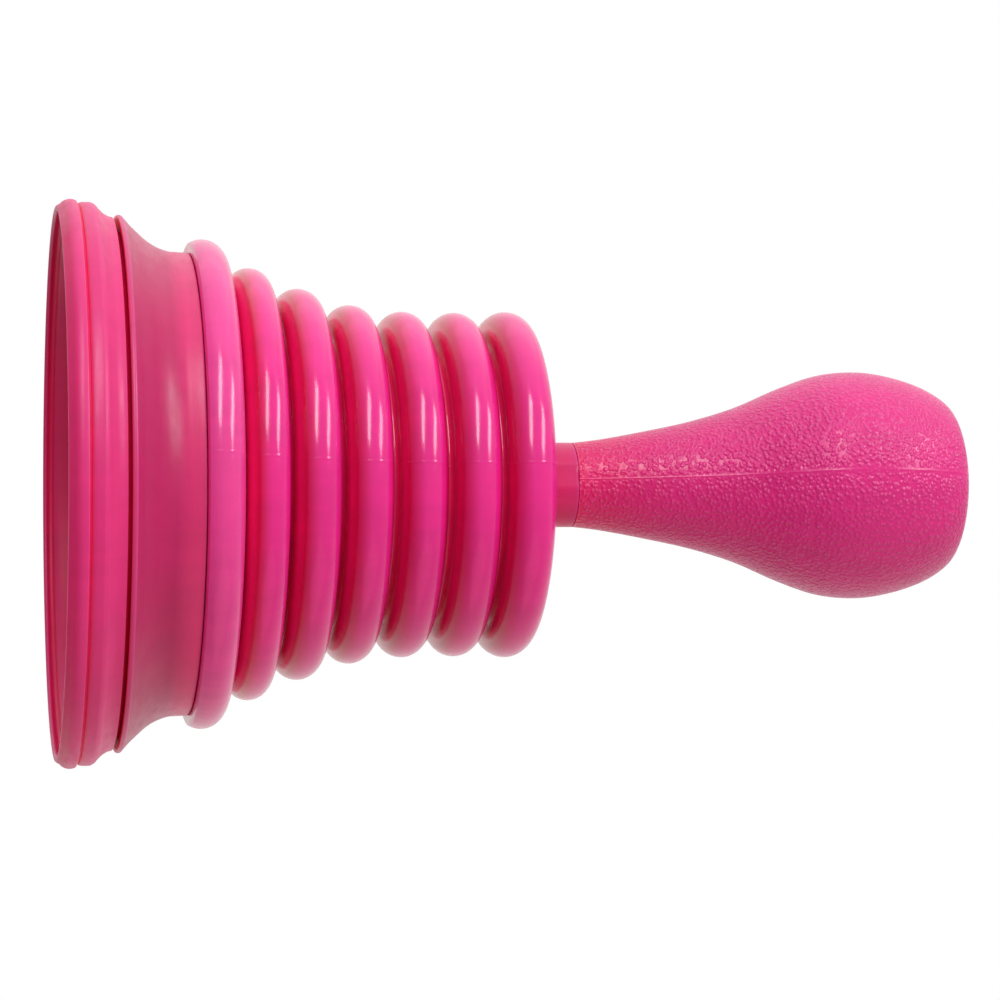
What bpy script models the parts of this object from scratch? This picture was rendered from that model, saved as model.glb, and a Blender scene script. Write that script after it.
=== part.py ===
"""A sink plunger: a soft cup clamped to a bellows, with a bulb grip on a short flexible neck.

The plunger stands on the mouth of its cup. The origin is the centre of the mouth, and +Z runs up
the axis to the end of the grip. Lengths are in metres and angles in degrees. Every piece is turned:
its section is an outline of (radius, height) points that a Screw modifier carries round the axis.
Each outline runs down the outside of its piece, from the top, and comes back up the inside.
"""

import math

import bmesh
import bpy

# Overall sizes
MOUTH_RADIUS = 0.0625
GRIP_TOP = 0.2072
GAP = 0.0003  # between pieces that touch

# Sealing lip: a rounded bead, a shoulder behind it, and a flat flange that the hoop clamps
BEAD_ROUNDING = 0.0027
BEAD_HEIGHT = 0.0030
BEAD_ARC = (24.0, -48.0)  # from the shoulder round to the flat front
SHOULDER_STATIONS = (
    (0.0587, 0.0120),
    (0.0590, 0.0111),
    (0.0598, 0.0097),
    (0.0613, 0.0081),
    (0.0619, 0.0063),
    (0.0618, 0.0045),
)
LIP_FLAT_OUTER = 0.0609
LIP_FLAT_INNER = 0.0599
MOUTH_STATIONS = (
    (0.0597, 0.0006),
    (0.0603, 0.0014),
    (0.0601, 0.0023),
    (0.0591, 0.0032),
    (0.0583, 0.0070),
    (0.0568, 0.0103),
    (0.0553, 0.0124),
)
FLANGE_BOTTOM = 0.0124
FLANGE_TOP = 0.0142
FLANGE_INNER = 0.0471
FLANGE_SLOPE = (0.0548, 0.0571)  # radii between which its top slopes down to the lip

# Skirt: a flare from its rim down to a blunt ridge over the lip
SKIRT_TOP = 0.0287
FLARE_STATIONS = (
    (0.0509, SKIRT_TOP),
    (0.0511, 0.0272),
    (0.0512, 0.0259),
    (0.0514, 0.0245),
    (0.0519, 0.0228),
    (0.0527, 0.0210),
    (0.0539, 0.0192),
    (0.0554, 0.0175),
    (0.0570, 0.0158),
    (0.0580, 0.0149),
    (0.0588, 0.0142),
)
RIDGE_STATIONS = ((0.0592, 0.0136), (0.0590, 0.0129), (0.0573, 0.0129))
SKIRT_WALL = 0.0020
THICK_ABOVE = 4  # the station that the skirt is thicker above, round its bore
SKIRT_BORE = 0.0492
SKIRT_BORE_BOTTOM = 0.0238
SKIRT_CHAMFER = 0.0003

# Bellows: one (crest radius, crest height, crest rounding) for each fold, from the cup upwards
FOLDS = (
    (0.0540, 0.03285, 0.0038),
    (0.0480, 0.0422, 0.0046),
    (0.0436, 0.0532, 0.0050),
    (0.0401, 0.0649, 0.0050),
    (0.0388, 0.0768, 0.0050),
    (0.0387, 0.0887, 0.0050),
    (0.0390, 0.1004, 0.0052),
)
FOLD_DEPTH = 0.0080
VALLEY_ROUNDING = 0.0008
BELLOWS_WALL = 0.0018
FIRST_FOLD_ANGLE = -104.0  # where the first crest leaves the foot
CROWN_ANGLE = 90.0  # where the last crest meets the flat crown
FOOT_RADIUS = 0.0489
FOOT_BEAD = 0.0016
FOOT_BEAD_HEIGHTS = (0.0205, 0.0185, 0.0155)
FOOT_BEAD_LEAD = 0.0006  # how far the bead narrows towards the bottom
FOOT_BELOW_FOLD = (0.0007, 0.0004)  # where the straight foot starts, outside and inside
FOOT_BOTTOM = FLANGE_TOP + GAP
CROWN = FOLDS[-1][1] + FOLDS[-1][2]
CROWN_HOLE = 0.0083

# Retaining hoop: an angle section, upright inside the bellows' foot, flat under the lip's flange
HOOP_WALL = 0.0015
HOOP_TOP = 0.0255
HOOP_FLANGE_RADIUS = 0.0525
HOOP_CHAMFER = 0.0004

# Neck coupler: a hollow waist between the bellows and the grip
NECK_RADIUS = 0.0096
NECK_FOOT_RADIUS = 0.0128
NECK_FOOT_EDGE = 0.0006
NECK_TOP = 0.1161
NECK_BORE = 0.0045
INNER_FLANGE_RADIUS = 0.0130
INNER_FLANGE_THICKNESS = 0.0020
SPIGOT_RADIUS = 0.0071
SPIGOT_TOP = 0.1340
SPIGOT_CHAMFER = (0.0008, 0.0012)
SNAP_BEAD = 0.0005
SNAP_BEAD_HEIGHTS = (0.1285, 0.1200)
SNAP_BEAD_PROFILE = (0.0014, 0.0004, -0.0004, -0.0010)  # heights from the bead's middle
FLAT_DEPTH = 0.0004
FLAT_LENGTH = 0.0072
FLAT_BELOW_TOP = 0.0004
FLAT_TURN = 13.0  # from the -Y side towards -X
CUTTER_SIZE = (0.012, 0.004, FLAT_LENGTH)
TILT_HEIGHT = 0.1125  # the middle of the waist, which bends

# Grip
GRIP_WALL = 0.0020
SOCKET_TOP = 0.1355
GRIP_STATIONS = (
    (0.0096, NECK_TOP + GAP),
    (0.0105, 0.1234),
    (0.0125, 0.1342),
    (0.0147, 0.1443),
    (0.0179, 0.1548),
    (0.0222, 0.1649),
    (0.0253, 0.1740),
    (0.0262, 0.1826),
    (0.0253, 0.1903),
    (0.0230, 0.1979),
    (0.0198, 0.2034),
    (0.0166, 0.2054),
    (0.0110, 0.2067),
    (0.0045, 0.2071),
)
HOLLOW_FROM = 4  # the station that the grip's hollow starts above

# Facets round each turned piece, and its shading
CUP_STEPS = 32
NECK_STEPS = 24
MERGE_DISTANCE = 0.00001
SHARP_ANGLE = 40.0
AXIS_SIZE = 0.02  # of the empties on the joints

# Linear colours
LIP_PINK = (0.600, 0.032, 0.150, 1.0)
SKIRT_PINK = (0.560, 0.028, 0.135, 1.0)
BELLOWS_PINK = (0.740, 0.036, 0.210, 1.0)
HOOP_PINK = (0.560, 0.030, 0.130, 1.0)
NECK_PINK = (0.660, 0.028, 0.160, 1.0)
GRIP_PINK = (0.700, 0.030, 0.180, 1.0)


def clear_scene():
    for obj in list(bpy.data.objects):
        bpy.data.objects.remove(obj)


def new_collection(name, hidden=False):
    collection = bpy.data.collections.new(name)
    collection.hide_render = hidden
    bpy.context.scene.collection.children.link(collection)
    return collection


def plastic(name, colour, roughness, coat=0.0):
    material = bpy.data.materials.new(name)
    material.use_nodes = True
    shader = material.node_tree.nodes["Principled BSDF"]
    shader.inputs["Base Color"].default_value = colour
    shader.inputs["Roughness"].default_value = roughness
    shader.inputs["Metallic"].default_value = 0.0
    shader.inputs["Coat Weight"].default_value = coat
    return material


def arc(centre, radius, start, end, steps):
    """Points round a circle. An angle is 0 away from the axis and 90 up it."""
    points = []
    for i in range(steps + 1):
        angle = math.radians(start + (end - start) * i / steps)
        points.append((centre[0] + radius * math.cos(angle), centre[1] + radius * math.sin(angle)))
    return points


def smooth_curve(stations, steps):
    """Points on the Catmull-Rom curve through the stations."""
    ends = [stations[0], *stations, stations[-1]]
    points = []
    for a, b, c, d in zip(ends, ends[1:], ends[2:], ends[3:]):
        for i in range(steps):
            t = i / steps
            points.append(
                tuple(
                    0.5
                    * (
                        2 * q
                        + (r - p) * t
                        + (2 * p - 5 * q + 4 * r - s) * t * t
                        + (3 * q - p - 3 * r + s) * t**3
                    )
                    for p, q, r, s in zip(a, b, c, d)
                )
            )
    points.append(stations[-1])
    return points


def moved_in(stations, wall):
    """The inside of a wall whose outside runs up through the stations, without the two ends."""
    points = []
    for (r0, z0), (r1, z1), (r2, z2) in zip(stations, stations[1:], stations[2:]):
        length = math.hypot(r2 - r0, z2 - z0)
        points.append((r1 - wall * (z2 - z0) / length, z1 + wall * (r2 - r0) / length))
    return points


def turned(name, outline, steps, material, collection, joint):
    """A solid turned round the Z axis, with its origin on its joint. Ends on the axis aren't joined."""
    base = joint.matrix_world.translation.z
    mesh = bpy.data.meshes.new(name)
    shape = bmesh.new()
    corners = [shape.verts.new((radius, 0.0, height - base)) for radius, height in outline]
    for a, b in zip(corners, corners[1:]):
        shape.edges.new((a, b))
    if outline[0][0] > 0:
        shape.edges.new((corners[-1], corners[0]))
    shape.to_mesh(mesh)
    shape.free()
    obj = bpy.data.objects.new(name, mesh)
    collection.objects.link(obj)
    screw = obj.modifiers.new("Turn", "SCREW")
    screw.axis = "Z"
    screw.steps = steps
    screw.render_steps = steps
    screw.use_merge_vertices = True
    screw.merge_threshold = MERGE_DISTANCE
    realise(obj)
    obj.data.materials.append(material)
    obj.data.shade_smooth()
    obj.data.set_sharp_from_angle(angle=math.radians(SHARP_ANGLE))
    obj.parent = joint
    return obj


def realise(obj):
    """Puts the result of the object's modifiers in its mesh."""
    graph = bpy.context.evaluated_depsgraph_get()
    mesh = bpy.data.meshes.new_from_object(obj.evaluated_get(graph))
    mesh.name = obj.name
    obj.modifiers.clear()
    obj.data = mesh


def lip_outline():
    bead = arc((MOUTH_RADIUS - BEAD_ROUNDING, BEAD_HEIGHT), BEAD_ROUNDING, *BEAD_ARC, 6)
    ring = [(LIP_FLAT_OUTER, 0.0), (LIP_FLAT_INNER, 0.0)]
    flange = [
        (FLANGE_INNER, FLANGE_BOTTOM),
        (FLANGE_INNER, FLANGE_TOP),
        (FLANGE_SLOPE[0], FLANGE_TOP),
        (FLANGE_SLOPE[1], FLANGE_BOTTOM),
    ]
    return [*SHOULDER_STATIONS, *bead, *ring, *MOUTH_STATIONS, *flange]


def skirt_outline():
    flare = smooth_curve(FLARE_STATIONS, 2)
    inside = moved_in(FLARE_STATIONS[:THICK_ABOVE - 1:-1], SKIRT_WALL)
    bore = [
        (SKIRT_BORE, SKIRT_BORE_BOTTOM),
        (SKIRT_BORE, SKIRT_TOP - 2 * SKIRT_CHAMFER),
        (SKIRT_BORE + SKIRT_CHAMFER, SKIRT_TOP - SKIRT_CHAMFER / 2),
    ]
    return [*flare, *RIDGE_STATIONS, *inside, *bore]


def valley_between(lower, upper):
    """The centre of the rounding in the valley, halfway across the gap between two folds."""
    depth = min(lower[0], upper[0]) - FOLD_DEPTH
    lower_top = lower[1] + lower[2]
    upper_bottom = upper[1] - upper[2]
    return (depth + VALLEY_ROUNDING, (lower_top + upper_bottom) / 2)


def tangent_angle(crest, crest_rounding, valley, side):
    """The angle on the crest where the flank leaves it for the valley. Side is 1 for the valley above."""
    distance = math.dist(crest, valley)
    towards = math.degrees(math.atan2(valley[1] - crest[1], valley[0] - crest[0]))
    turn = math.degrees(math.acos((crest_rounding + VALLEY_ROUNDING) / distance))
    return towards - side * turn


def fold_path(inset, crest_steps, valley_steps, first_angle, last_angle):
    """The folds from bottom to top, as a wall that lies inset behind the outside."""
    crests = [(radius - rounding, height) for radius, height, rounding in FOLDS]
    valleys = [valley_between(a, b) for a, b in zip(FOLDS, FOLDS[1:])]
    points = []
    start = first_angle
    for i, (crest, fold) in enumerate(zip(crests, FOLDS)):
        rounding = fold[2]
        last = i == len(FOLDS) - 1
        end = last_angle if last else tangent_angle(crest, rounding, valleys[i], 1)
        points += arc(crest, rounding - inset, start, end, crest_steps)
        if last:
            break
        start = tangent_angle(crests[i + 1], FOLDS[i + 1][2], valleys[i], -1)
        points += arc(valleys[i], VALLEY_ROUNDING + inset, end + 180.0, start + 180.0, valley_steps)
    return points


def bellows_outline():
    outer = fold_path(0.0, 4, 2, FIRST_FOLD_ANGLE, CROWN_ANGLE)
    outer += [(CROWN_HOLE, CROWN)]
    inner = fold_path(BELLOWS_WALL, 2, 2, FIRST_FOLD_ANGLE, CROWN_ANGLE)
    inner += [(CROWN_HOLE, CROWN - BELLOWS_WALL)]
    fold_bottom = FOLDS[0][1] - FOLDS[0][2]
    bead = FOOT_RADIUS + FOOT_BEAD
    bead_top, bead_upper, bead_lower = FOOT_BEAD_HEIGHTS
    foot = [
        (FOOT_RADIUS, fold_bottom - FOOT_BELOW_FOLD[0]),
        (FOOT_RADIUS, bead_top),
        (bead, bead_upper),
        (bead, bead_lower),
        (bead - FOOT_BEAD_LEAD, FOOT_BOTTOM),
        (FOOT_RADIUS - BELLOWS_WALL, FOOT_BOTTOM),
        (FOOT_RADIUS - BELLOWS_WALL, fold_bottom + BELLOWS_WALL - FOOT_BELOW_FOLD[1]),
    ]
    return outer[::-1] + foot + inner


def hoop_outline():
    outer = FOOT_RADIUS - BELLOWS_WALL - GAP
    inner = outer - HOOP_WALL
    flange_top = FLANGE_BOTTOM - GAP
    flange_bottom = flange_top - HOOP_WALL
    return [
        (outer - HOOP_CHAMFER, HOOP_TOP),
        (outer, HOOP_TOP - HOOP_CHAMFER),
        (outer, flange_top),
        (HOOP_FLANGE_RADIUS, flange_top),
        (HOOP_FLANGE_RADIUS, flange_bottom),
        (inner + HOOP_CHAMFER, flange_bottom),
        (inner, flange_bottom + HOOP_CHAMFER),
        (inner, HOOP_TOP),
    ]


def spigot_outline():
    radii = (SPIGOT_RADIUS, SPIGOT_RADIUS + SNAP_BEAD, SPIGOT_RADIUS + SNAP_BEAD, SPIGOT_RADIUS)
    points = [
        (SPIGOT_RADIUS - SPIGOT_CHAMFER[0], SPIGOT_TOP),
        (SPIGOT_RADIUS, SPIGOT_TOP - SPIGOT_CHAMFER[1]),
    ]
    for middle in SNAP_BEAD_HEIGHTS:
        points += [(r, middle + offset) for r, offset in zip(radii, SNAP_BEAD_PROFILE)]
    return points


def coupler_outline():
    seat = CROWN + GAP
    flange_top = CROWN - BELLOWS_WALL - GAP
    flange_bottom = flange_top - INNER_FLANGE_THICKNESS
    throat = CROWN_HOLE - GAP
    fillet = NECK_FOOT_RADIUS - NECK_RADIUS
    waist = [(SPIGOT_RADIUS, NECK_TOP), (NECK_RADIUS, NECK_TOP)]
    waist += arc((NECK_FOOT_RADIUS, seat + NECK_FOOT_EDGE + fillet), fillet, 180.0, 270.0, 4)
    waist += [(NECK_FOOT_RADIUS, seat), (throat, seat)]
    flange = [
        (throat, flange_top),
        (INNER_FLANGE_RADIUS, flange_top),
        (INNER_FLANGE_RADIUS, flange_bottom),
        (NECK_BORE, flange_bottom),
        (NECK_BORE, SPIGOT_TOP),
    ]
    return spigot_outline() + waist + flange


def grip_outline():
    """The grip's hollow is its outside moved in by the wall, above a socket for the coupler's spigot."""
    outside = [(0.0, GRIP_TOP)] + smooth_curve(GRIP_STATIONS, 2)[::-1]
    socket = SPIGOT_RADIUS + SNAP_BEAD + GAP
    inside = [(socket, GRIP_STATIONS[0][1]), (socket, SOCKET_TOP)]
    inside += moved_in(GRIP_STATIONS[HOLLOW_FROM:], GRIP_WALL)
    return outside + inside + [(0.0, GRIP_TOP - GRIP_WALL)]


def cut_flats(coupler, collection):
    """Two narrow flats on opposite sides of the waist."""
    away = NECK_RADIUS - FLAT_DEPTH + CUTTER_SIZE[1] / 2
    middle = NECK_TOP - FLAT_BELOW_TOP - FLAT_LENGTH / 2
    for i in range(2):
        turn = math.radians(180.0 * i - FLAT_TURN)
        bpy.ops.mesh.primitive_cube_add(size=1.0, scale=CUTTER_SIZE)
        bpy.ops.object.transform_apply(location=False, rotation=False, scale=True)
        cutter = bpy.context.object
        cutter.name = f"neck_flat_cutter_{i + 1}"
        cutter.location = (away * math.sin(turn), -away * math.cos(turn), middle)
        cutter.rotation_euler.z = turn
        cutter.hide_render = True
        cutter.display_type = "WIRE"
        bpy.context.collection.objects.unlink(cutter)
        collection.objects.link(cutter)
        cut = coupler.modifiers.new(f"Flat {i + 1}", "BOOLEAN")
        cut.operation = "DIFFERENCE"
        cut.object = cutter


def add_joint_axis(name, height, collection, parent=None):
    """An empty on a joint's axis, at rest, for the pieces that the joint moves."""
    empty = bpy.data.objects.new(name, None)
    empty.empty_display_size = AXIS_SIZE
    empty.location.z = height - (parent.location.z if parent else 0.0)
    empty.parent = parent
    collection.objects.link(empty)
    bpy.context.view_layer.update()
    return empty


def build():
    clear_scene()
    plunger = new_collection("sink_plunger")
    cutters = new_collection("cutters", hidden=True)
    lip = plastic("lip_vinyl", LIP_PINK, 0.42)
    skirt = plastic("skirt_vinyl", SKIRT_PINK, 0.48)
    hoop = plastic("hoop_polypropylene", HOOP_PINK, 0.40)
    bellows = plastic("bellows_polyethylene", BELLOWS_PINK, 0.18, coat=0.3)
    neck = plastic("neck_polyethylene", NECK_PINK, 0.32)
    grained = plastic("grip_polyethylene", GRIP_PINK, 0.38)

    cup = add_joint_axis("cup", 0.0, plunger)
    pump = add_joint_axis("pump_stroke", CROWN, plunger)
    tilt = add_joint_axis("grip_tilt", TILT_HEIGHT, plunger, pump)

    turned("sealing_lip", lip_outline(), CUP_STEPS, lip, plunger, cup)
    turned("cup_skirt", skirt_outline(), CUP_STEPS, skirt, plunger, cup)
    turned("retaining_hoop", hoop_outline(), CUP_STEPS, hoop, plunger, cup)
    turned("bellows", bellows_outline(), CUP_STEPS, bellows, plunger, cup)
    coupler = turned("neck_coupler", coupler_outline(), NECK_STEPS, neck, plunger, pump)
    cut_flats(coupler, cutters)
    turned("grip", grip_outline(), NECK_STEPS, grained, plunger, tilt)


build()
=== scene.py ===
import math

import bmesh
import bpy
import numpy as np
from mathutils import Matrix, Vector


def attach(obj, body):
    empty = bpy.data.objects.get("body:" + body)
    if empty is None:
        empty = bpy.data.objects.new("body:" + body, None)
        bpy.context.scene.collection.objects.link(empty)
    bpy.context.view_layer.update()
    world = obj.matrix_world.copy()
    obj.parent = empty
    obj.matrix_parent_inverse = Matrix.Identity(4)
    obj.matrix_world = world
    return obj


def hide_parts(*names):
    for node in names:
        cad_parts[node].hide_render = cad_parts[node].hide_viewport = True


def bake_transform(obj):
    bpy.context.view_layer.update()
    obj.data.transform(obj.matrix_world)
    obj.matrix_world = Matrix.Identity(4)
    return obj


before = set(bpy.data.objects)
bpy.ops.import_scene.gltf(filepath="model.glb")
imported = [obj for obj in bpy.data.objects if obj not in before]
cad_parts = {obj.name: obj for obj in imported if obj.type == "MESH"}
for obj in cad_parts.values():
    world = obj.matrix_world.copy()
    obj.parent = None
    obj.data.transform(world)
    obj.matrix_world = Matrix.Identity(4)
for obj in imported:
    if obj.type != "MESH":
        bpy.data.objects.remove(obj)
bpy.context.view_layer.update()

# The shapes below are sections of (radius, height) points in metres, carried round the Z axis. Each runs
# down the outside of its piece, from the top, and comes back up the inside.
MM = 0.001

# Sealing lip
LIP_BEAD_CENTRE = (0.0598, 0.0030)
LIP_BEAD_RADIUS = 0.0027
LIP_FLAT = (0.0599, 0.0609)
FLANGE_BOTTOM = 0.0124
FLANGE_TOP = 0.0142
FLANGE_INNER = 0.0471

# Skirt
SKIRT_TOP = 0.0287
FLARE_STATIONS = (
    (0.05125, 0.0284),
    (0.05125, 0.0272),
    (0.0513, 0.0259),
    (0.0514, 0.0245),
    (0.0519, 0.0228),
    (0.0527, 0.0210),
    (0.0539, 0.0192),
    (0.0554, 0.0175),
    (0.0570, 0.0158),
    (0.0580, 0.0149),
    (0.0588, 0.0142),
    (0.05905, 0.0140),
    (0.0592, 0.0137),
    (0.0592, 0.0133),
    (0.0590, 0.0130),
    (0.0584, 0.0129),
)
SKIRT_WALL = 0.0020
SKIRT_BORE = 0.0492

# Bellows: (crest radius, crest height, crest rounding) for each fold, from the cup upwards
FOLDS = (
    (0.0542, 0.0318, 0.0050),
    (0.0480, 0.0422, 0.0046),
    (0.0436, 0.0532, 0.0050),
    (0.0401, 0.0649, 0.0050),
    (0.0388, 0.0768, 0.0050),
    (0.0387, 0.0887, 0.0050),
    (0.0390, 0.1004, 0.0052),
)
FOLD_DEPTH = 0.0080
VALLEY_ROUNDING = 0.0008
BELLOWS_WALL = 0.0018
HEM_ANGLE = -32.0  # where the lowest crest turns in to its flat hem
HEM = 0.02884  # its flat underside, close over the skirt's rim
FOOT_RADIUS = 0.0489
FOOT_TOP = 0.0283
FOOT_BEAD = 0.0016
FOOT_BOTTOM = 0.0145
CROWN = 0.1056
CROWN_HOLE = 0.0083
BELLOWS_BEND = (0.0290, 0.1052)  # below and above these heights it doesn't fold

# Hoop
HOOP_OUTER = 0.0468
HOOP_INNER = 0.0453
HOOP_TOP = 0.0255
HOOP_FLANGE = 0.0525
HOOP_FLANGE_HEIGHTS = (0.0106, 0.0121)

# Neck coupler
NECK_RADIUS = 0.0096
NECK_FOOT_RADIUS = 0.0128
NECK_SEAT = 0.1059
NECK_TOP = 0.1161
NECK_BORE = 0.0045
NECK_THROAT = 0.0080
NECK_FLANGE = (0.0130, 0.1015, 0.1035)
SPIGOT_RADIUS = 0.0071
SPIGOT_TOP = 0.1340
SPIGOT_BEADS = (0.1285, 0.1200)
FLAT_HALF_ANGLE = 16.0
FLAT_TURN = 13.0

# Grip
GRIP_STATIONS = (
    (0.0096, 0.1162),
    (0.0105, 0.1234),
    (0.0125, 0.1342),
    (0.0147, 0.1443),
    (0.0179, 0.1548),
    (0.0222, 0.1649),
    (0.0253, 0.1740),
    (0.0262, 0.1826),
    (0.0253, 0.1903),
    (0.0230, 0.1979),
    (0.0198, 0.2034),
    (0.0166, 0.2054),
    (0.0110, 0.2067),
    (0.0045, 0.2071),
    (0.0000, 0.2072),
)
GRIP_WALL = 0.0020
SOCKET_RADIUS = 0.0079
SOCKET_TOP = 0.1355
GRIP_SEAM_HEIGHT = 0.05 * MM
GRAIN_CELL = 0.92 * MM
GRAIN_DEPTH = 0.19 * MM
# painted highlight colour on each pebble's top
GRAIN_GLINT_COLOUR = (0.900, 0.120, 0.380)
GRAIN_GLINT_REACH = (0.08, 0.38)  # in cells from a pebble's centre, where its painted highlight ends
GRAIN_SLOPE = (0.15, 0.65)  # and where its side falls

# The moulds' parting line, in degrees round from +X, and the one opposite
PARTING = -97.2
SEAM_HEIGHT = 0.035 * MM
GRIP_PARTING = -98.0

# Linear colours: on open walls, painted shade in deep hollows and a painted sheen on each edge
LIP_COLOURS = ((0.780, 0.022, 0.205), (0.780, 0.001, 0.050), (0.820, 0.080, 0.300))
SKIRT_COLOURS = ((0.530, 0.007, 0.118), (0.640, 0.000, 0.026), (0.840, 0.090, 0.320))
# painted light on the flare's rim, brightening it where the first fold shades it
SKIRT_RIM_PAINTED_LIGHT = (0.860, 0.036, 0.220)
BELLOWS_COLOURS = ((0.860, 0.014, 0.270), (0.640, 0.000, 0.050), (0.860, 0.040, 0.320))
# painted light on the first fold's lowest flank, which lies in shade over the skirt
FIRST_FOLD_PAINTED_LIGHT = (0.860, 0.050, 0.310)
HOOP_COLOURS = ((0.720, 0.016, 0.180), (0.760, 0.001, 0.030), (0.780, 0.060, 0.260))
NECK_COLOURS = ((0.580, 0.012, 0.180), (0.660, 0.002, 0.090), (0.700, 0.040, 0.230))
GRIP_COLOURS = ((0.640, 0.009, 0.190), (0.760, 0.001, 0.080), (0.780, 0.040, 0.260))
BULB_COLOUR = (0.780, 0.018, 0.240)

# Lowest and highest roughness, and each layer of bumps as (size, height, detail of its noise)
LIP_ROUGHNESS = (0.34, 0.48)
SKIRT_ROUGHNESS = (0.28, 0.40)
BELLOWS_ROUGHNESS = (0.16, 0.25)
HOOP_ROUGHNESS = (0.26, 0.40)
NECK_ROUGHNESS = (0.28, 0.40)
GRIP_ROUGHNESS = (0.22, 0.34)
VINYL_BUMPS = ((0.0016, 0.00002, 2.0), (0.0004, 0.000006, 1.0))
BELLOWS_BUMPS = ((0.0030, 0.00002, 2.0), (0.0006, 0.000003, 1.0))
HOOP_BUMPS = ((0.0020, 0.00002, 2.0),)
NECK_BUMPS = ((0.0018, 0.00002, 2.0),)
GRIP_BUMPS = ((0.0004, 0.00001, 1.0),)
VINYL_MOTTLE = 0.35

# How much light goes into the plastic and comes out again, how far in, and the folds' gloss over it
SOFT_GLOW = 0.15
HARD_GLOW = 0.10
GLOW_DEPTH = 3.0 * MM
GLOSS = (0.25, 0.12)

# Camera
LENS = 108.2
SENSOR = 36.0
CAMERA_PLACE = (0.0, -0.6677, -0.0306)
CAMERA_RIGHT = (0.0, -0.1917, 0.9815)
CAMERA_UP = (-1.0, 0.0, 0.0)
CAMERA_AIM = (-0.29, 0.0, 0.10)  # pitch, yaw and roll, in degrees

# What the materials read: how hidden a point is, which sets its painted shade, how sharply it bulges
# (in 1/mm), which sets a painted sheen, and its second colour
OUTLOOK_REACH = 0.030  # walls further off than this hardly count
PAINTED_SHADE_STOPS = (0.03, 0.24, 0.48, 0.85)  # for the open colour and three ever deeper steps of painted shade
# red of the innermost painted shade
CLOSEST_SHADE_RED = 0.88
# painted sheen on rounded edges: the bulge where it starts and where it is full, and its largest share
EDGE_SHEEN_BULGE = (0.35, 1.6)
EDGE_SHEEN_SHARE = 0.55
MOTTLE_SWING = 0.12
SHARP_ANGLE = 35.0
GRIP_SHARP_ANGLE = 60.0
NO_TINT = (-2.0, -1.0, -1.0)
TINT_OPENS = 0.65  # how much of the painted shade a second colour takes away
PLAIN_WIDTH = 2.6  # degrees either side of the grip's parting line that have no grain
PLAIN_GAIN = 1.7

# Heights where a piece's second colour starts to come in, has come in, and ends
# on the flare's rim and the first fold the second colour is painted light, brightening faces in shade
FLARE_PAINTED_LIGHT_HEIGHTS = (0.0225, 0.0275, 0.0290)
FIRST_FOLD_PAINTED_LIGHT_HEIGHTS = (0.0284, 0.0285, 0.0370)
BULB_TINT = (0.1250, 0.1750, 0.2100)

# Light from the surroundings
LIGHTS_AIM = (0.0, -0.03, 0.065)
SOFTBOXES = (  # name, start, end, width and watts
    ("softbox_low", (-0.97, -0.59, 0.12), (-0.51, -1.00, -0.17), 0.22, 4.2),
    ("softbox_high", (-0.66, -0.30, 0.92), (-0.35, -0.78, 0.80), 0.20, 3.2),
    ("key_light", (-1.30, -0.60, 0.30), (-1.30, 1.20, 0.30), 1.8, 3.1),
)
PINK_CARD = ("pink_card", (0.90, -0.95, -0.10), (0.90, -0.25, 0.40), 1.0, 2.2)
CARD_COLOUR = (1.0, 0.22, 0.36)
FLOOR_SIZE = 12.0
FLOOR_GREYS = ((0.3, (0.80, 0.79, 0.79)), (0.7, (0.84, 0.83, 0.83)))
WORLD_COLOUR = (1.0, 0.985, 0.97, 1.0)
WORLD_FRONT = (0.14, 0.44)  # from below and from above
WORLD_BEHIND = 0.40
WORLD_BESIDE = 0.22
UPWARD_LIGHT = 0.25  # how much less painted shade a face gets for facing up the axis


# ---------------------------------------------------------------- sections


def arc(centre, radius, start, end, steps):
    """Points round a circle. An angle is 0 away from the axis and 90 up it."""
    angles = np.radians(np.linspace(start, end, steps + 1))
    return [(centre[0] + radius * math.cos(a), centre[1] + radius * math.sin(a)) for a in angles]


def curve(stations, steps):
    """Points on the Catmull-Rom curve through the stations."""
    p = np.array([stations[0], *stations, stations[-1]], float)
    points = []
    for a, b, c, d in zip(p, p[1:], p[2:], p[3:]):
        for t in np.arange(steps) / steps:
            bend_in = 2 * a - 5 * b + 4 * c - d
            bend_out = 3 * b - a - 3 * c + d
            points.append(tuple(0.5 * (2 * b + (c - a) * t + bend_in * t**2 + bend_out * t**3)))
    return points + [tuple(p[-1])]


def spaced(points, gap):
    """The same path with its points an even gap apart."""
    p = np.array(points, float)
    along = np.concatenate([[0], np.cumsum(np.hypot(*np.diff(p, axis=0).T))])
    at = np.linspace(0, along[-1], max(2, round(along[-1] / gap) + 1))
    return list(zip(np.interp(at, along, p[:, 0]), np.interp(at, along, p[:, 1])))


def moved_in(stations, wall):
    """The inside of a wall whose outside runs up through the stations, without the two ends."""
    points = []
    for (r0, z0), (r1, z1), (r2, z2) in zip(stations, stations[1:], stations[2:]):
        length = math.hypot(r2 - r0, z2 - z0)
        points.append((r1 - wall * (z2 - z0) / length, z1 + wall * (r2 - r0) / length))
    return points


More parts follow.
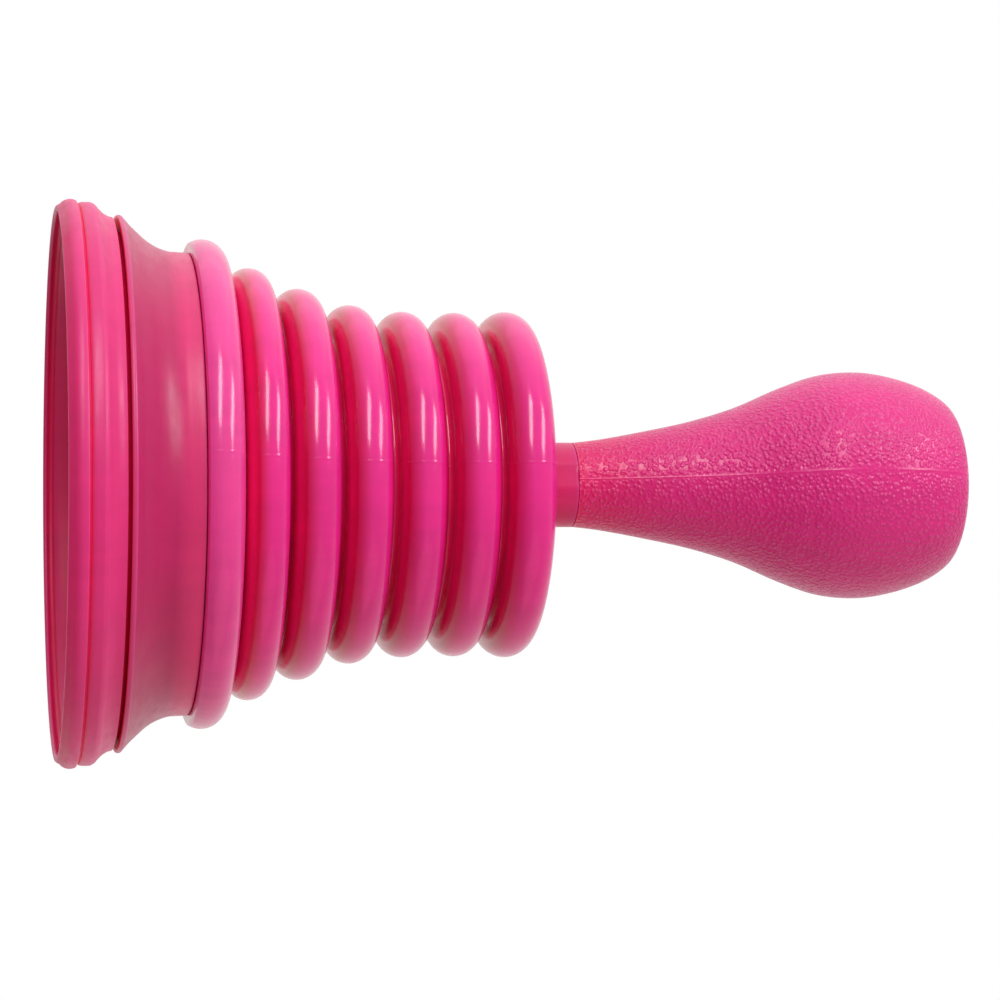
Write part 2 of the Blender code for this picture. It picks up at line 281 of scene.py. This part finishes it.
def lip_section():
    falling = [(0.0587, 0.0120), (0.0589, 0.0112), (0.0595, 0.0101), (0.0605, 0.0090), (0.0612, 0.0084)]
    shoulder = [(0.0616, 0.0079), (0.06185, 0.0073), (0.0619, 0.0063), (0.06185, 0.0054), (0.0617, 0.0049)]
    outside = curve(falling + shoulder + [(0.0614, 0.0045), (0.0616, 0.0043)], 6)
    bead = arc(LIP_BEAD_CENTRE, LIP_BEAD_RADIUS, 25.0, -52.0, 16)
    front = [(LIP_FLAT[1] + 0.0002, 0.0002), (LIP_FLAT[1], 0.0), (LIP_FLAT[0] + 0.0002, 0.0)]
    inner = [
        (LIP_FLAT[0], 0.0002),
        (0.0598, 0.0007),
        (0.0602, 0.0014),
        (0.0601, 0.0022),
        (0.0592, 0.0032),
        (0.0583, 0.0070),
        (0.0568, 0.0103),
        (0.0553, FLANGE_BOTTOM - 0.0002),
    ]
    flange = [
        (0.0551, FLANGE_BOTTOM),
        (FLANGE_INNER + 0.0002, FLANGE_BOTTOM),
        (FLANGE_INNER, FLANGE_BOTTOM + 0.0002),
        (FLANGE_INNER, FLANGE_TOP - 0.0002),
        (FLANGE_INNER + 0.0002, FLANGE_TOP),
        (0.0548, FLANGE_TOP),
        (0.0571, FLANGE_BOTTOM),
    ]
    return outside + bead + front + curve(inner, 4) + flange


def skirt_section():
    rim = [
        (0.0498, SKIRT_TOP),
        (0.0508, SKIRT_TOP),
        (0.0511, SKIRT_TOP - 0.00004),
        (0.0512, SKIRT_TOP - 0.00015),
    ]
    flare = curve(FLARE_STATIONS, 5)
    wall = [s for s in FLARE_STATIONS[::-1] if 0.0140 < s[1] < 0.0240]
    inside = [(0.0573, 0.0130)] + moved_in(wall, SKIRT_WALL)
    bore = [
        (SKIRT_BORE, 0.0238),
        (SKIRT_BORE, SKIRT_TOP - 0.0006),
        (SKIRT_BORE + 0.0003, SKIRT_TOP - 0.00015),
    ]
    return rim + flare + inside + bore


def leaving_angle(crest, rounding, valley, side):
    """Where on the crest the flank leaves it for the valley. Side is 1 for the valley above."""
    towards = math.degrees(math.atan2(valley[1] - crest[1], valley[0] - crest[0]))
    turn = math.degrees(math.acos((rounding + VALLEY_ROUNDING) / math.dist(crest, valley)))
    return towards - side * turn


def fold_path(inset, crest_steps, valley_steps, flank_steps):
    """The folds from bottom to top, as a wall that lies inset behind the outside."""
    crests = [(radius - rounding, height) for radius, height, rounding in FOLDS]
    valleys = []
    for a, b in zip(FOLDS, FOLDS[1:]):
        height = (a[1] + a[2] + b[1] - b[2]) / 2
        valleys.append((min(a[0], b[0]) - FOLD_DEPTH + VALLEY_ROUNDING, height))
    points = []
    start = HEM_ANGLE

    def add(circle):
        """Joins a circle's points on with a flank of a few even steps."""
        if points:
            flank = np.linspace(points[-1], circle[0], flank_steps + 1)[1:-1]
            points.extend(tuple(p) for p in flank)
        points.extend(circle)

    for i, (crest, fold) in enumerate(zip(crests, FOLDS)):
        last = i == len(FOLDS) - 1
        end = 90.0 if last else leaving_angle(crest, fold[2], valleys[i], 1)
        add(arc(crest, fold[2] - inset, start, end, crest_steps))
        if not last:
            start = leaving_angle(crests[i + 1], FOLDS[i + 1][2], valleys[i], -1)
            add(arc(valleys[i], VALLEY_ROUNDING + inset, end + 180.0, start + 180.0, valley_steps))
    return points


def bellows_section():
    crown_edge = FOLDS[-1][0] - FOLDS[-1][2]
    crown = list(zip(np.linspace(crown_edge, CROWN_HOLE, 9)[1:], [CROWN] * 8))
    hem = curve([(0.0491, HEM), (0.0500, HEM), (0.0515, HEM), (0.0527, HEM + 0.00004)], 3)
    outer = hem + fold_path(0.0, 17, 7, 3) + crown
    inner_hem = [(FOOT_RADIUS - BELLOWS_WALL, 0.0300), (0.0478, 0.0307)]
    inner = inner_hem + fold_path(BELLOWS_WALL, 6, 4, 2) + [(CROWN_HOLE, CROWN - BELLOWS_WALL)]
    foot = [
        (FOOT_RADIUS, FOOT_TOP),
        (FOOT_RADIUS, 0.0205),
        (FOOT_RADIUS + FOOT_BEAD, 0.0185),
        (FOOT_RADIUS + FOOT_BEAD, 0.0155),
        (FOOT_RADIUS + FOOT_BEAD - 0.0006, FOOT_BOTTOM),
        (FOOT_RADIUS - BELLOWS_WALL, FOOT_BOTTOM),
    ]
    return outer[::-1] + foot + inner


def hoop_section():
    low, high = HOOP_FLANGE_HEIGHTS
    return [
        (HOOP_OUTER - 0.0004, HOOP_TOP),
        (HOOP_OUTER - 0.0001, HOOP_TOP - 0.0003),
        (HOOP_OUTER, HOOP_TOP - 0.0007),
        (HOOP_OUTER, high),
        (HOOP_FLANGE - 0.0003, high),
        (HOOP_FLANGE, high - 0.0003),
        (HOOP_FLANGE, low + 0.0003),
        (HOOP_FLANGE - 0.0003, low),
        (HOOP_INNER + 0.0006, low),
        (HOOP_INNER + 0.0001, low + 0.0002),
        (HOOP_INNER, low + 0.0007),
        (HOOP_INNER, HOOP_TOP - 0.0003),
        (HOOP_INNER + 0.0003, HOOP_TOP),
    ]


def coupler_section():
    spigot = [(SPIGOT_RADIUS - 0.0008, SPIGOT_TOP), (SPIGOT_RADIUS, SPIGOT_TOP - 0.0012)]
    for height in SPIGOT_BEADS:
        spigot += arc((SPIGOT_RADIUS - 0.0007, height), 0.0012, 54.0, -54.0, 8)
    fillet = NECK_FOOT_RADIUS - NECK_RADIUS
    foot = arc((NECK_FOOT_RADIUS, NECK_SEAT + 0.0006 + fillet), fillet, 180.0, 270.0, 12)
    waist = [(SPIGOT_RADIUS, NECK_TOP), (NECK_RADIUS - 0.0001, NECK_TOP), (NECK_RADIUS, NECK_TOP - 0.0001)]
    waist += list(zip([NECK_RADIUS] * 13, np.linspace(NECK_TOP - 0.0007, foot[0][1] + 0.0003, 13)))
    edge, low, high = NECK_FLANGE
    flange = [
        (NECK_FOOT_RADIUS, NECK_SEAT),
        (NECK_THROAT, NECK_SEAT),
        (NECK_THROAT, high),
        (edge, high),
        (edge, low),
        (NECK_BORE, low),
        (NECK_BORE, SPIGOT_TOP - 0.0003),
        (NECK_BORE + 0.0003, SPIGOT_TOP),
    ]
    return spigot + waist + foot + flange


def grip_section():
    outside = spaced(curve(GRIP_STATIONS, 12), 0.46 * MM)[::-1]
    inside = [(SOCKET_RADIUS, GRIP_STATIONS[0][1]), (SOCKET_RADIUS, SOCKET_TOP)]
    inside += moved_in(GRIP_STATIONS[4:-1], GRIP_WALL)
    return outside + inside + [(0.0, GRIP_STATIONS[-1][1] - GRIP_WALL)]


# ---------------------------------------------------------------- meshes


def profile_normals(points):
    """The direction out of the wall at each point, and how sharply it bulges there, in 1/m."""
    p = np.array(points, float)
    before, after = np.roll(p, 1, axis=0), np.roll(p, -1, axis=0)
    first, second = p - before, after - p
    lengths = [np.maximum(np.hypot(*d.T), 1e-9) for d in (first, second)]
    first, second = first / lengths[0][:, None], second / lengths[1][:, None]
    along = first + second
    along /= np.maximum(np.hypot(*along.T), 1e-9)[:, None]
    out = np.stack([-along[:, 1], along[:, 0]], axis=1)
    turn = np.arctan2(first[:, 0] * second[:, 1] - first[:, 1] * second[:, 0], (first * second).sum(1))
    return out, -turn / ((lengths[0] + lengths[1]) / 2)


def hidden_share(points, normals, walls):
    """How much of its outlook each point of a section loses to the walls round it, from 0 to 1."""
    p = np.array(points, float) + normals * 0.05 * MM
    starts, ends = walls
    out, up = normals.T
    hidden = np.zeros(len(p))
    total = 0.0
    for angle in np.radians(np.arange(-80.0, 81.0, 10.0)):
        c, s = math.cos(angle), math.sin(angle)
        ray = np.stack([c * out - s * up, s * out + c * up], axis=1)
        edge = ends - starts
        gap = starts[None] - p[:, None]
        cross = ray[:, None, 0] * edge[None, :, 1] - ray[:, None, 1] * edge[None, :, 0]
        cross = np.where(np.abs(cross) < 1e-12, 1e-12, cross)
        distance = (gap[..., 0] * edge[None, :, 1] - gap[..., 1] * edge[None, :, 0]) / cross
        share = (gap[..., 0] * ray[:, None, 1] - gap[..., 1] * ray[:, None, 0]) / cross
        hit = (distance > 0) & (share >= 0) & (share <= 1)
        nearest = np.where(hit, distance, 1.0).min(axis=1)
        hidden += c * np.exp(-nearest / OUTLOOK_REACH)
        total += c
    return hidden / total


def azimuths(steps, seams):
    """Even steps round the axis, in radians, with close ones across each parting line."""
    close = np.array([-1.3, -0.8, -0.5, -0.25, 0.0, 0.25, 0.5, 0.8, 1.3])
    angles = list(np.arange(steps) * 360.0 / steps)
    for seam in seams:
        away = [(a - seam + 180.0) % 360.0 - 180.0 for a in angles]
        angles = [a for a, d in zip(angles, away) if abs(d) > 1.6]
        angles += [(seam + d) % 360.0 for d in close]
    return np.radians(np.sort(np.unique(np.round(angles, 4))))


def revolve(name, section, turns, walls, shape=None, smooth=SHARP_ANGLE, tint=NO_TINT):
    """The closed mesh of a section carried round the axis, with what its material reads at each point.

    Shape gives how far to move the points out. Tint gives the heights of the second colour.
    """
    section = [s for i, s in enumerate(section) if i == 0 or math.dist(s, section[i - 1]) > 1e-6]
    p = np.array(section, float)
    normals, bulge = profile_normals(section)
    # The lost share of outlook, less for faces turned up the axis, sets how much painted shade a point
    # gets.
    hidden = np.clip(hidden_share(section, normals, walls) - UPWARD_LIGHT * normals[:, 1], 0, 1)
    # The second colour's share, which takes away part of the painted shade; on the flare's rim and the
    # first fold it is painted light.
    share = np.clip((p[:, 1] - tint[0]) / (tint[1] - tint[0]), 0, 1) * (p[:, 1] < tint[2])
    hidden = hidden * (1.0 - TINT_OPENS * share)
    count, spokes = len(p), len(turns)
    c, s = np.cos(turns), np.sin(turns)
    radius = np.repeat(p[:, :1], spokes, axis=1)
    height = np.repeat(p[:, 1:], spokes, axis=1)
    if shape:
        push = shape(radius, height, turns, normals)
        radius = radius + push * normals[:, :1]
        height = height + push * normals[:, 1:]
    places = np.stack([radius * c, radius * s, height], axis=2).reshape(-1, 3)
    index = np.arange(count * spokes).reshape(count, spokes)
    poles = p[:, 0] < 1e-7
    for row in np.flatnonzero(poles):
        index[row] = index[row, 0]
    ring = np.roll(index, -1, axis=1)
    faces = []
    rows = range(count) if not poles.any() else range(count - 1)
    for row in rows:
        below = (row + 1) % count
        quads = np.stack([index[row], index[below], ring[below], ring[row]], axis=1)
        if poles[row]:
            faces += quads[:, 1:].tolist() if not poles[below] else []
        elif poles[below]:
            faces += quads[:, [0, 1, 3]].tolist()
        else:
            faces += quads.tolist()
    mesh = bpy.data.meshes.new(name)
    mesh.from_pydata(places.tolist(), [], faces)
    plain = np.clip(PLAIN_GAIN * seam_band(turns, GRIP_PARTING, PLAIN_WIDTH), 0, 1)
    values = {
        "hidden": np.repeat(hidden, spokes),
        "bulge": np.repeat(bulge, spokes) * MM,
        "plain": np.tile(plain, count),
        "tint": np.repeat(share, spokes),
    }
    for key, value in values.items():
        mesh.attributes.new(key, "FLOAT", "POINT").data.foreach_set("value", value.astype(np.float32))
    rest = mesh.attributes.new("rest", "FLOAT_VECTOR", "POINT")
    rest.data.foreach_set("vector", places.astype(np.float32).ravel())
    obj = bpy.data.objects.new(name, mesh)
    bpy.context.scene.collection.objects.link(obj)
    drop_loose(obj)
    mesh.shade_smooth()
    mesh.set_sharp_from_angle(angle=math.radians(smooth))
    return obj


def drop_loose(obj):
    """Removes the spare points at the poles."""
    shape = bmesh.new()
    shape.from_mesh(obj.data)
    loose = [v for v in shape.verts if not v.link_faces]
    bmesh.ops.delete(shape, geom=loose, context="VERTS")
    if shape.calc_volume(signed=True) < 0:
        bmesh.ops.reverse_faces(shape, faces=shape.faces)
    shape.to_mesh(obj.data)
    shape.free()


def around(turns, at):
    """Degrees from an angle, as a signed distance either way round."""
    return (np.degrees(turns) - at + 180.0) % 360.0 - 180.0


def bellows_shape(radius, height, turns, normals):
    """A fine flash line over every fold, where the halves of the mould met."""
    outside = (normals[:, :1] > -0.2) & (radius > 0.030) & (height > BELLOWS_BEND[0])
    return np.where(outside, SEAM_HEIGHT * seam_band(turns, PARTING, 0.5)[None, :], 0.0)


def seam_band(turns, at, width):
    """1 on a parting line and the one opposite, fading to 0 at this many degrees either side."""
    away = np.minimum(np.abs(around(turns, at)), np.abs(around(turns, at + 180.0)))
    return np.clip(1.0 - away / width, 0, 1)


def grip_shape(radius, height, turns, normals):
    """The outside sinks a little either side of a parting line."""
    outside = (normals[:, :1] > -0.2) & (radius > 0.0090)
    sunk = 1.0 - seam_band(turns, GRIP_PARTING, 0.9)
    return np.where(outside, -GRIP_SEAM_HEIGHT * sunk[None, :], 0.0)


def coupler_shape(radius, height, turns, normals):
    """Two narrow flats on the waist."""
    push = np.zeros_like(height)
    waist = (radius > 0.0095) & (height > NECK_TOP - 0.0078) & (height <= NECK_TOP)
    half = math.radians(FLAT_HALF_ANGLE)
    for at in (-90.0 - FLAT_TURN, 90.0 - FLAT_TURN):
        away = np.radians(np.abs(around(turns, at)))
        flat = NECK_RADIUS * math.cos(half) / np.maximum(np.cos(away), 0.5) - NECK_RADIUS
        push = np.where(waist & (away < half)[None, :], flat[None, :], push)
    return push


# ---------------------------------------------------------------- materials


def add(tree, kind, inputs=None, **settings):
    """A node with its settings, and each input linked to a socket or set to a value."""
    made = tree.nodes.new(kind)
    for key, value in settings.items():
        setattr(made, key, value)
    for key, value in (inputs or {}).items():
        if isinstance(value, bpy.types.NodeSocket):
            tree.links.new(value, made.inputs[key])
        else:
            made.inputs[key].default_value = value
    return made


def ramp(tree, factor, stops):
    """A colour ramp through (place, colour) stops."""
    made = add(tree, "ShaderNodeValToRGB", {"Fac": factor})
    elements = made.color_ramp.elements
    while len(elements) < len(stops):
        elements.new(0.5)
    for element, (place, colour) in zip(elements, stops):
        element.position = place
        element.color = (*colour, 1.0)
    return made.outputs["Color"]


def between(tree, factor, low, high, to_low, to_high):
    """A value carried from one range to another."""
    made = add(
        tree,
        "ShaderNodeMapRange",
        {"Value": factor, "From Min": low, "From Max": high, "To Min": to_low, "To Max": to_high},
    )
    return made.outputs["Result"]


def stretched(tree, rest, scale):
    made = add(tree, "ShaderNodeMapping", {"Vector": rest, "Scale": scale})
    return made.outputs["Vector"]


def grain(tree, place, size, detail=2.0, roughness=0.5):
    """Noise with features about this size, in metres."""
    inputs = {"Vector": place, "Scale": 1.0 / size, "Detail": detail, "Roughness": roughness}
    return add(tree, "ShaderNodeTexNoise", inputs).outputs["Fac"]


def mixed(tree, factor, a, b, blend="MIX"):
    made = add(tree, "ShaderNodeMix", data_type="RGBA", blend_type=blend)
    for key, value in ((0, factor), (6, a), (7, b)):
        if isinstance(value, bpy.types.NodeSocket):
            tree.links.new(value, made.inputs[key])
        else:
            made.inputs[key].default_value = value
    return made.outputs[2]


def plastic(name, colours, rough, bumps, mottle=0.5, tint_colour=None):
    """Moulded plastic with a painted sheen on each rounded edge and painted shade in its hollows, with flow
    marks, scuffs and a skin.

    Its colours are for open walls, painted shade in deep hollows and a painted sheen on each edge. The tint
    colour comes in with height; on the skirt's rim and the first fold it is painted light. In the innermost
    hollows the painted shade turns a richer red again, standing in for light that has been through the
    plastic itself.
    """
    open_colour, deep_shade_colour, edge_sheen_colour = colours
    material = bpy.data.materials.new(name)
    material.use_nodes = True
    tree = material.node_tree
    shader = tree.nodes["Principled BSDF"]
    rest = add(tree, "ShaderNodeAttribute", attribute_name="rest").outputs["Vector"]
    hidden = add(tree, "ShaderNodeAttribute", attribute_name="hidden").outputs["Fac"]
    bulge = add(tree, "ShaderNodeAttribute", attribute_name="bulge").outputs["Fac"]
    # Painted shade: the colour deepens and reddens as more of a point's outlook is hidden.
    middle_shade_colour = [(a * 0.5 + b * 0.5) for a, b in zip(open_colour, deep_shade_colour)]
    closest_shade_colour = (CLOSEST_SHADE_RED, deep_shade_colour[1] + 0.010, deep_shade_colour[2] * 3.0)
    colour = ramp(tree, hidden, list(zip(PAINTED_SHADE_STOPS, (open_colour, middle_shade_colour, deep_shade_colour, closest_shade_colour))))
    if tint_colour:
        tint = add(tree, "ShaderNodeAttribute", attribute_name="tint").outputs["Fac"]
        colour = mixed(tree, tint, colour, (*tint_colour, 1.0))
    # Painted sheen on each sharply bulging edge.
    edge_sheen = between(tree, bulge, *EDGE_SHEEN_BULGE, 0.0, EDGE_SHEEN_SHARE)
    colour = mixed(tree, edge_sheen, colour, (*edge_sheen_colour, 1.0))
    cloud = grain(tree, rest, 0.022, 3.0)
    flow = grain(tree, stretched(tree, rest, (1.0, 1.0, 0.16)), 0.004, 2.0)
    drift = add(tree, "ShaderNodeMath", {0: cloud, 1: flow}, operation="ADD").outputs[0]
    swing = MOTTLE_SWING * mottle
    drift = between(tree, drift, 0.75, 1.25, 1.0 - swing, 1.0 + swing)
    shade = add(tree, "ShaderNodeCombineColor", {"Red": drift, "Green": drift, "Blue": drift}).outputs[0]
    colour = mixed(tree, 1.0, colour, shade, "MULTIPLY")
    tree.links.new(colour, shader.inputs["Base Color"])
    scuff = grain(tree, stretched(tree, rest, (1.0, 1.0, 3.0)), 0.006, 5.0, 0.7)
    tree.links.new(between(tree, scuff, 0.35, 0.7, rough[0], rough[1]), shader.inputs["Roughness"])
    shader.inputs["IOR"].default_value = 1.50
    normal = None
    for size, height, detail in bumps:
        inputs = {"Height": grain(tree, rest, size, detail), "Distance": height, "Strength": 1.0}
        if normal:
            inputs["Normal"] = normal
        normal = add(tree, "ShaderNodeBump", inputs).outputs["Normal"]
    tree.links.new(normal, shader.inputs["Normal"])
    return material


def soften(material, weight, depth):
    """Lets light a little way into the plastic, red furthest."""
    shader = material.node_tree.nodes["Principled BSDF"]
    shader.inputs["Subsurface Weight"].default_value = weight
    shader.inputs["Subsurface Radius"].default_value = (1.0, 0.25, 0.5)
    shader.inputs["Subsurface Scale"].default_value = depth


def polish(material, weight, roughness):
    shader = material.node_tree.nodes["Principled BSDF"]
    shader.inputs["Coat Weight"].default_value = weight
    shader.inputs["Coat Roughness"].default_value = roughness


def pebble(material, size, depth):
    """Rounded pebbles of about this size all over, each with a painted highlight on its top."""
    tree = material.node_tree
    shader = tree.nodes["Principled BSDF"]
    rest = add(tree, "ShaderNodeAttribute", attribute_name="rest").outputs["Vector"]
    plain = add(tree, "ShaderNodeAttribute", attribute_name="plain").outputs["Fac"]
    inputs = {"Vector": rest, "Scale": 1.0 / size, "Smoothness": 0.35, "Randomness": 0.9}
    cells = add(tree, "ShaderNodeTexVoronoi", inputs, feature="SMOOTH_F1").outputs["Distance"]
    # Painted highlight on each pebble's top.
    glint = between(tree, cells, *GRAIN_GLINT_REACH, 0.55, 0.0)
    colour = shader.inputs["Base Color"].links[0].from_socket
    tree.links.new(mixed(tree, glint, colour, (*GRAIN_GLINT_COLOUR, 1.0)), shader.inputs["Base Color"])
    height = between(tree, cells, *GRAIN_SLOPE, 1.0, 0.0)
    strength = between(tree, plain, 0.0, 1.0, 1.0, 0.06)
    normal = shader.inputs["Normal"].links[0].from_socket
    inputs = {"Height": height, "Distance": depth, "Strength": strength, "Normal": normal}
    made = add(tree, "ShaderNodeBump", inputs)
    tree.links.new(made.outputs["Normal"], shader.inputs["Normal"])


def wear(piece, material, body, node):
    piece.data.materials.append(material)
    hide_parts(node)
    if body:
        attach(piece, body)


def bend(piece):
    """Bakes the piece's placement into its mesh and reads its points."""
    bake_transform(piece)
    z = np.zeros(len(piece.data.vertices) * 3, np.float32)
    piece.data.vertices.foreach_get("co", z)


# ---------------------------------------------------------------- plunger


def build_plunger():
    sections = {
        "sealing_lip": lip_section(),
        "cup_skirt": skirt_section(),
        "retaining_hoop": hoop_section(),
        "bellows": bellows_section(),
        "neck_coupler": coupler_section(),
        "grip": grip_section(),
    }
    starts, ends = [], []
    for section in sections.values():
        p = np.array(section, float)
        starts.append(p)
        ends.append(np.roll(p, -1, axis=0))
    walls = (np.concatenate(starts), np.concatenate(ends))
    cup_turns = azimuths(288, (PARTING, PARTING + 180.0))
    plain_turns = azimuths(288, ())
    grip_turns = azimuths(320, (GRIP_PARTING, GRIP_PARTING + 180.0))

    soft = plastic("soft_pink_lip_vinyl", LIP_COLOURS, LIP_ROUGHNESS, VINYL_BUMPS, VINYL_MOTTLE)
    vinyl = plastic(
        "soft_pink_skirt_vinyl", SKIRT_COLOURS, SKIRT_ROUGHNESS, VINYL_BUMPS, VINYL_MOTTLE,
        tint_colour=SKIRT_RIM_PAINTED_LIGHT,
    )
    glossy = plastic(
        "glossy_pink_polyethylene", BELLOWS_COLOURS, BELLOWS_ROUGHNESS, BELLOWS_BUMPS,
        tint_colour=FIRST_FOLD_PAINTED_LIGHT,
    )
    stiff = plastic("pink_hoop_polypropylene", HOOP_COLOURS, HOOP_ROUGHNESS, HOOP_BUMPS)
    smooth = plastic("smooth_neck_plastic", NECK_COLOURS, NECK_ROUGHNESS, NECK_BUMPS)
    pebbled = plastic(
        "pebbled_pink_polyethylene", GRIP_COLOURS, GRIP_ROUGHNESS, GRIP_BUMPS,
        tint_colour=BULB_COLOUR,
    )
    for material in (soft, vinyl, glossy):
        soften(material, SOFT_GLOW, GLOW_DEPTH)
    for material in (smooth, pebbled):
        soften(material, HARD_GLOW, GLOW_DEPTH)
    polish(glossy, *GLOSS)
    pebble(pebbled, GRAIN_CELL, GRAIN_DEPTH)

    lip = revolve("lip_visual", sections["sealing_lip"], plain_turns, walls)
    wear(lip, soft, "cup", "sealing_lip")
    skirt = revolve("skirt_visual", sections["cup_skirt"], plain_turns, walls, tint=FLARE_PAINTED_LIGHT_HEIGHTS)
    wear(skirt, vinyl, "cup", "cup_skirt")
    hoop = revolve("hoop_visual", sections["retaining_hoop"], plain_turns, walls)
    wear(hoop, stiff, "cup", "retaining_hoop")
    bellows = revolve(
        "bellows_visual", sections["bellows"], cup_turns, walls, bellows_shape, tint=FIRST_FOLD_PAINTED_LIGHT_HEIGHTS
    )
    wear(bellows, glossy, None, "bellows")
    bend(bellows)
    coupler = revolve("coupler_visual", sections["neck_coupler"], azimuths(144, ()), walls, coupler_shape)
    wear(coupler, smooth, None, "neck_coupler")
    bend(coupler)
    grip = revolve(
        "grip_visual", sections["grip"], grip_turns, walls, grip_shape, GRIP_SHARP_ANGLE, BULB_TINT
    )
    wear(grip, pebbled, "handle", "grip")
    return [lip, skirt, hoop, bellows, coupler, grip]


# ---------------------------------------------------------------- studio


def add_camera():
    data = bpy.data.cameras.new("photo_camera")
    data.lens = LENS
    data.sensor_width = SENSOR
    data.clip_start = 0.01
    camera = bpy.data.objects.new("photo_camera", data)
    right, up = Vector(CAMERA_RIGHT).normalized(), Vector(CAMERA_UP)
    turn = Matrix((right, up, right.cross(up))).transposed()
    pitch, yaw, roll = (math.radians(a) for a in CAMERA_AIM)
    turn = turn @ Matrix.Rotation(pitch, 3, "X") @ Matrix.Rotation(yaw, 3, "Y")
    turn = turn @ Matrix.Rotation(roll, 3, "Z")
    camera.matrix_world = Matrix.Translation(CAMERA_PLACE) @ turn.to_4x4()
    bpy.context.scene.collection.objects.link(camera)
    bpy.context.scene.camera = camera


def add_softbox(name, start, end, width, watts, colour=(1.0, 1.0, 1.0)):
    """An area light that reaches from start to end and faces the plunger."""
    start, end = Vector(start), Vector(end)
    place = (start + end) / 2
    data = bpy.data.lights.new(name, "AREA")
    data.shape = "RECTANGLE"
    data.size = width
    data.size_y = (end - start).length
    data.energy = watts
    data.color = colour
    light = bpy.data.objects.new(name, data)
    along = (end - start).normalized()
    across = along.cross(place - Vector(LIGHTS_AIM)).normalized()
    turn = Matrix((across, along, across.cross(along))).transposed()
    light.matrix_world = Matrix.Translation(place) @ turn.to_4x4()
    bpy.context.scene.collection.objects.link(light)
    return light


def shine_only_on(light, pieces):
    """Keeps a light off everything but the pieces, so that a coloured one doesn't tint the floor."""
    lit = bpy.data.collections.new(f"{light.name}_receivers")
    for piece in pieces:
        lit.objects.link(piece)
    light.light_linking.receiver_collection = lit


def add_floor():
    """A pale floor, seen only from above, so that a camera below the mouth can see past it."""
    bpy.ops.mesh.primitive_plane_add(size=FLOOR_SIZE, location=(0.0, 0.0, -0.0002))
    floor = bpy.context.object
    floor.name = "studio_floor"
    material = bpy.data.materials.new("studio_floor_paper")
    material.use_nodes = True
    tree = material.node_tree
    shader = tree.nodes["Principled BSDF"]
    place = add(tree, "ShaderNodeTexCoord").outputs["Object"]
    fibre = grain(tree, place, 0.002, 3.0)
    tree.links.new(ramp(tree, fibre, FLOOR_GREYS), shader.inputs["Base Color"])
    shader.inputs["Roughness"].default_value = 0.85
    clear = add(tree, "ShaderNodeBsdfTransparent").outputs[0]
    under = add(tree, "ShaderNodeNewGeometry").outputs["Backfacing"]
    switch = add(tree, "ShaderNodeMixShader", {0: under, 1: shader.outputs[0], 2: clear})
    tree.links.new(switch.outputs[0], tree.nodes["Material Output"].inputs["Surface"])
    floor.data.materials.append(material)
    floor.visible_shadow = False
    floor.visible_glossy = False
    floor.visible_diffuse = False
    floor.visible_transmission = False


def add_world():
    """White all round to the camera. Its light is stronger from above, from behind and from -X."""
    world = bpy.data.worlds.new("studio")
    bpy.context.scene.world = world
    world.use_nodes = True
    tree = world.node_tree
    tree.nodes.clear()
    seen = add(tree, "ShaderNodeBackground", {"Color": (1.0, 1.0, 1.0, 1.0), "Strength": 1.0}).outputs[0]
    place = add(tree, "ShaderNodeTexCoord").outputs["Generated"]
    way = add(tree, "ShaderNodeSeparateXYZ", {"Vector": place}).outputs
    behind = between(tree, way["Y"], -0.3, 0.9, 0.0, WORLD_BEHIND)
    beside = between(tree, way["X"], 0.3, -0.9, 0.0, WORLD_BESIDE)
    height = between(tree, way["Z"], -0.85, 0.05, *WORLD_FRONT)
    strength = add(tree, "ShaderNodeMath", {0: behind, 1: beside}, operation="ADD").outputs[0]
    strength = add(tree, "ShaderNodeMath", {0: strength, 1: height}, operation="ADD").outputs[0]
    warm = {"Color": WORLD_COLOUR, "Strength": strength}
    lit = add(tree, "ShaderNodeBackground", warm).outputs[0]
    camera = add(tree, "ShaderNodeLightPath").outputs["Is Camera Ray"]
    switch = add(tree, "ShaderNodeMixShader", {0: camera, 1: lit, 2: seen})
    out = add(tree, "ShaderNodeOutputWorld")
    tree.links.new(switch.outputs[0], out.inputs["Surface"])


def build_studio(pieces):
    add_world()
    add_floor()
    add_camera()
    for softbox in SOFTBOXES:
        add_softbox(*softbox)
    card = add_softbox(*PINK_CARD, CARD_COLOUR)
    shine_only_on(card, pieces)
    bpy.context.scene.view_settings.view_transform = "Standard"


build_studio(build_plunger())

bpy.context.view_layer.update()
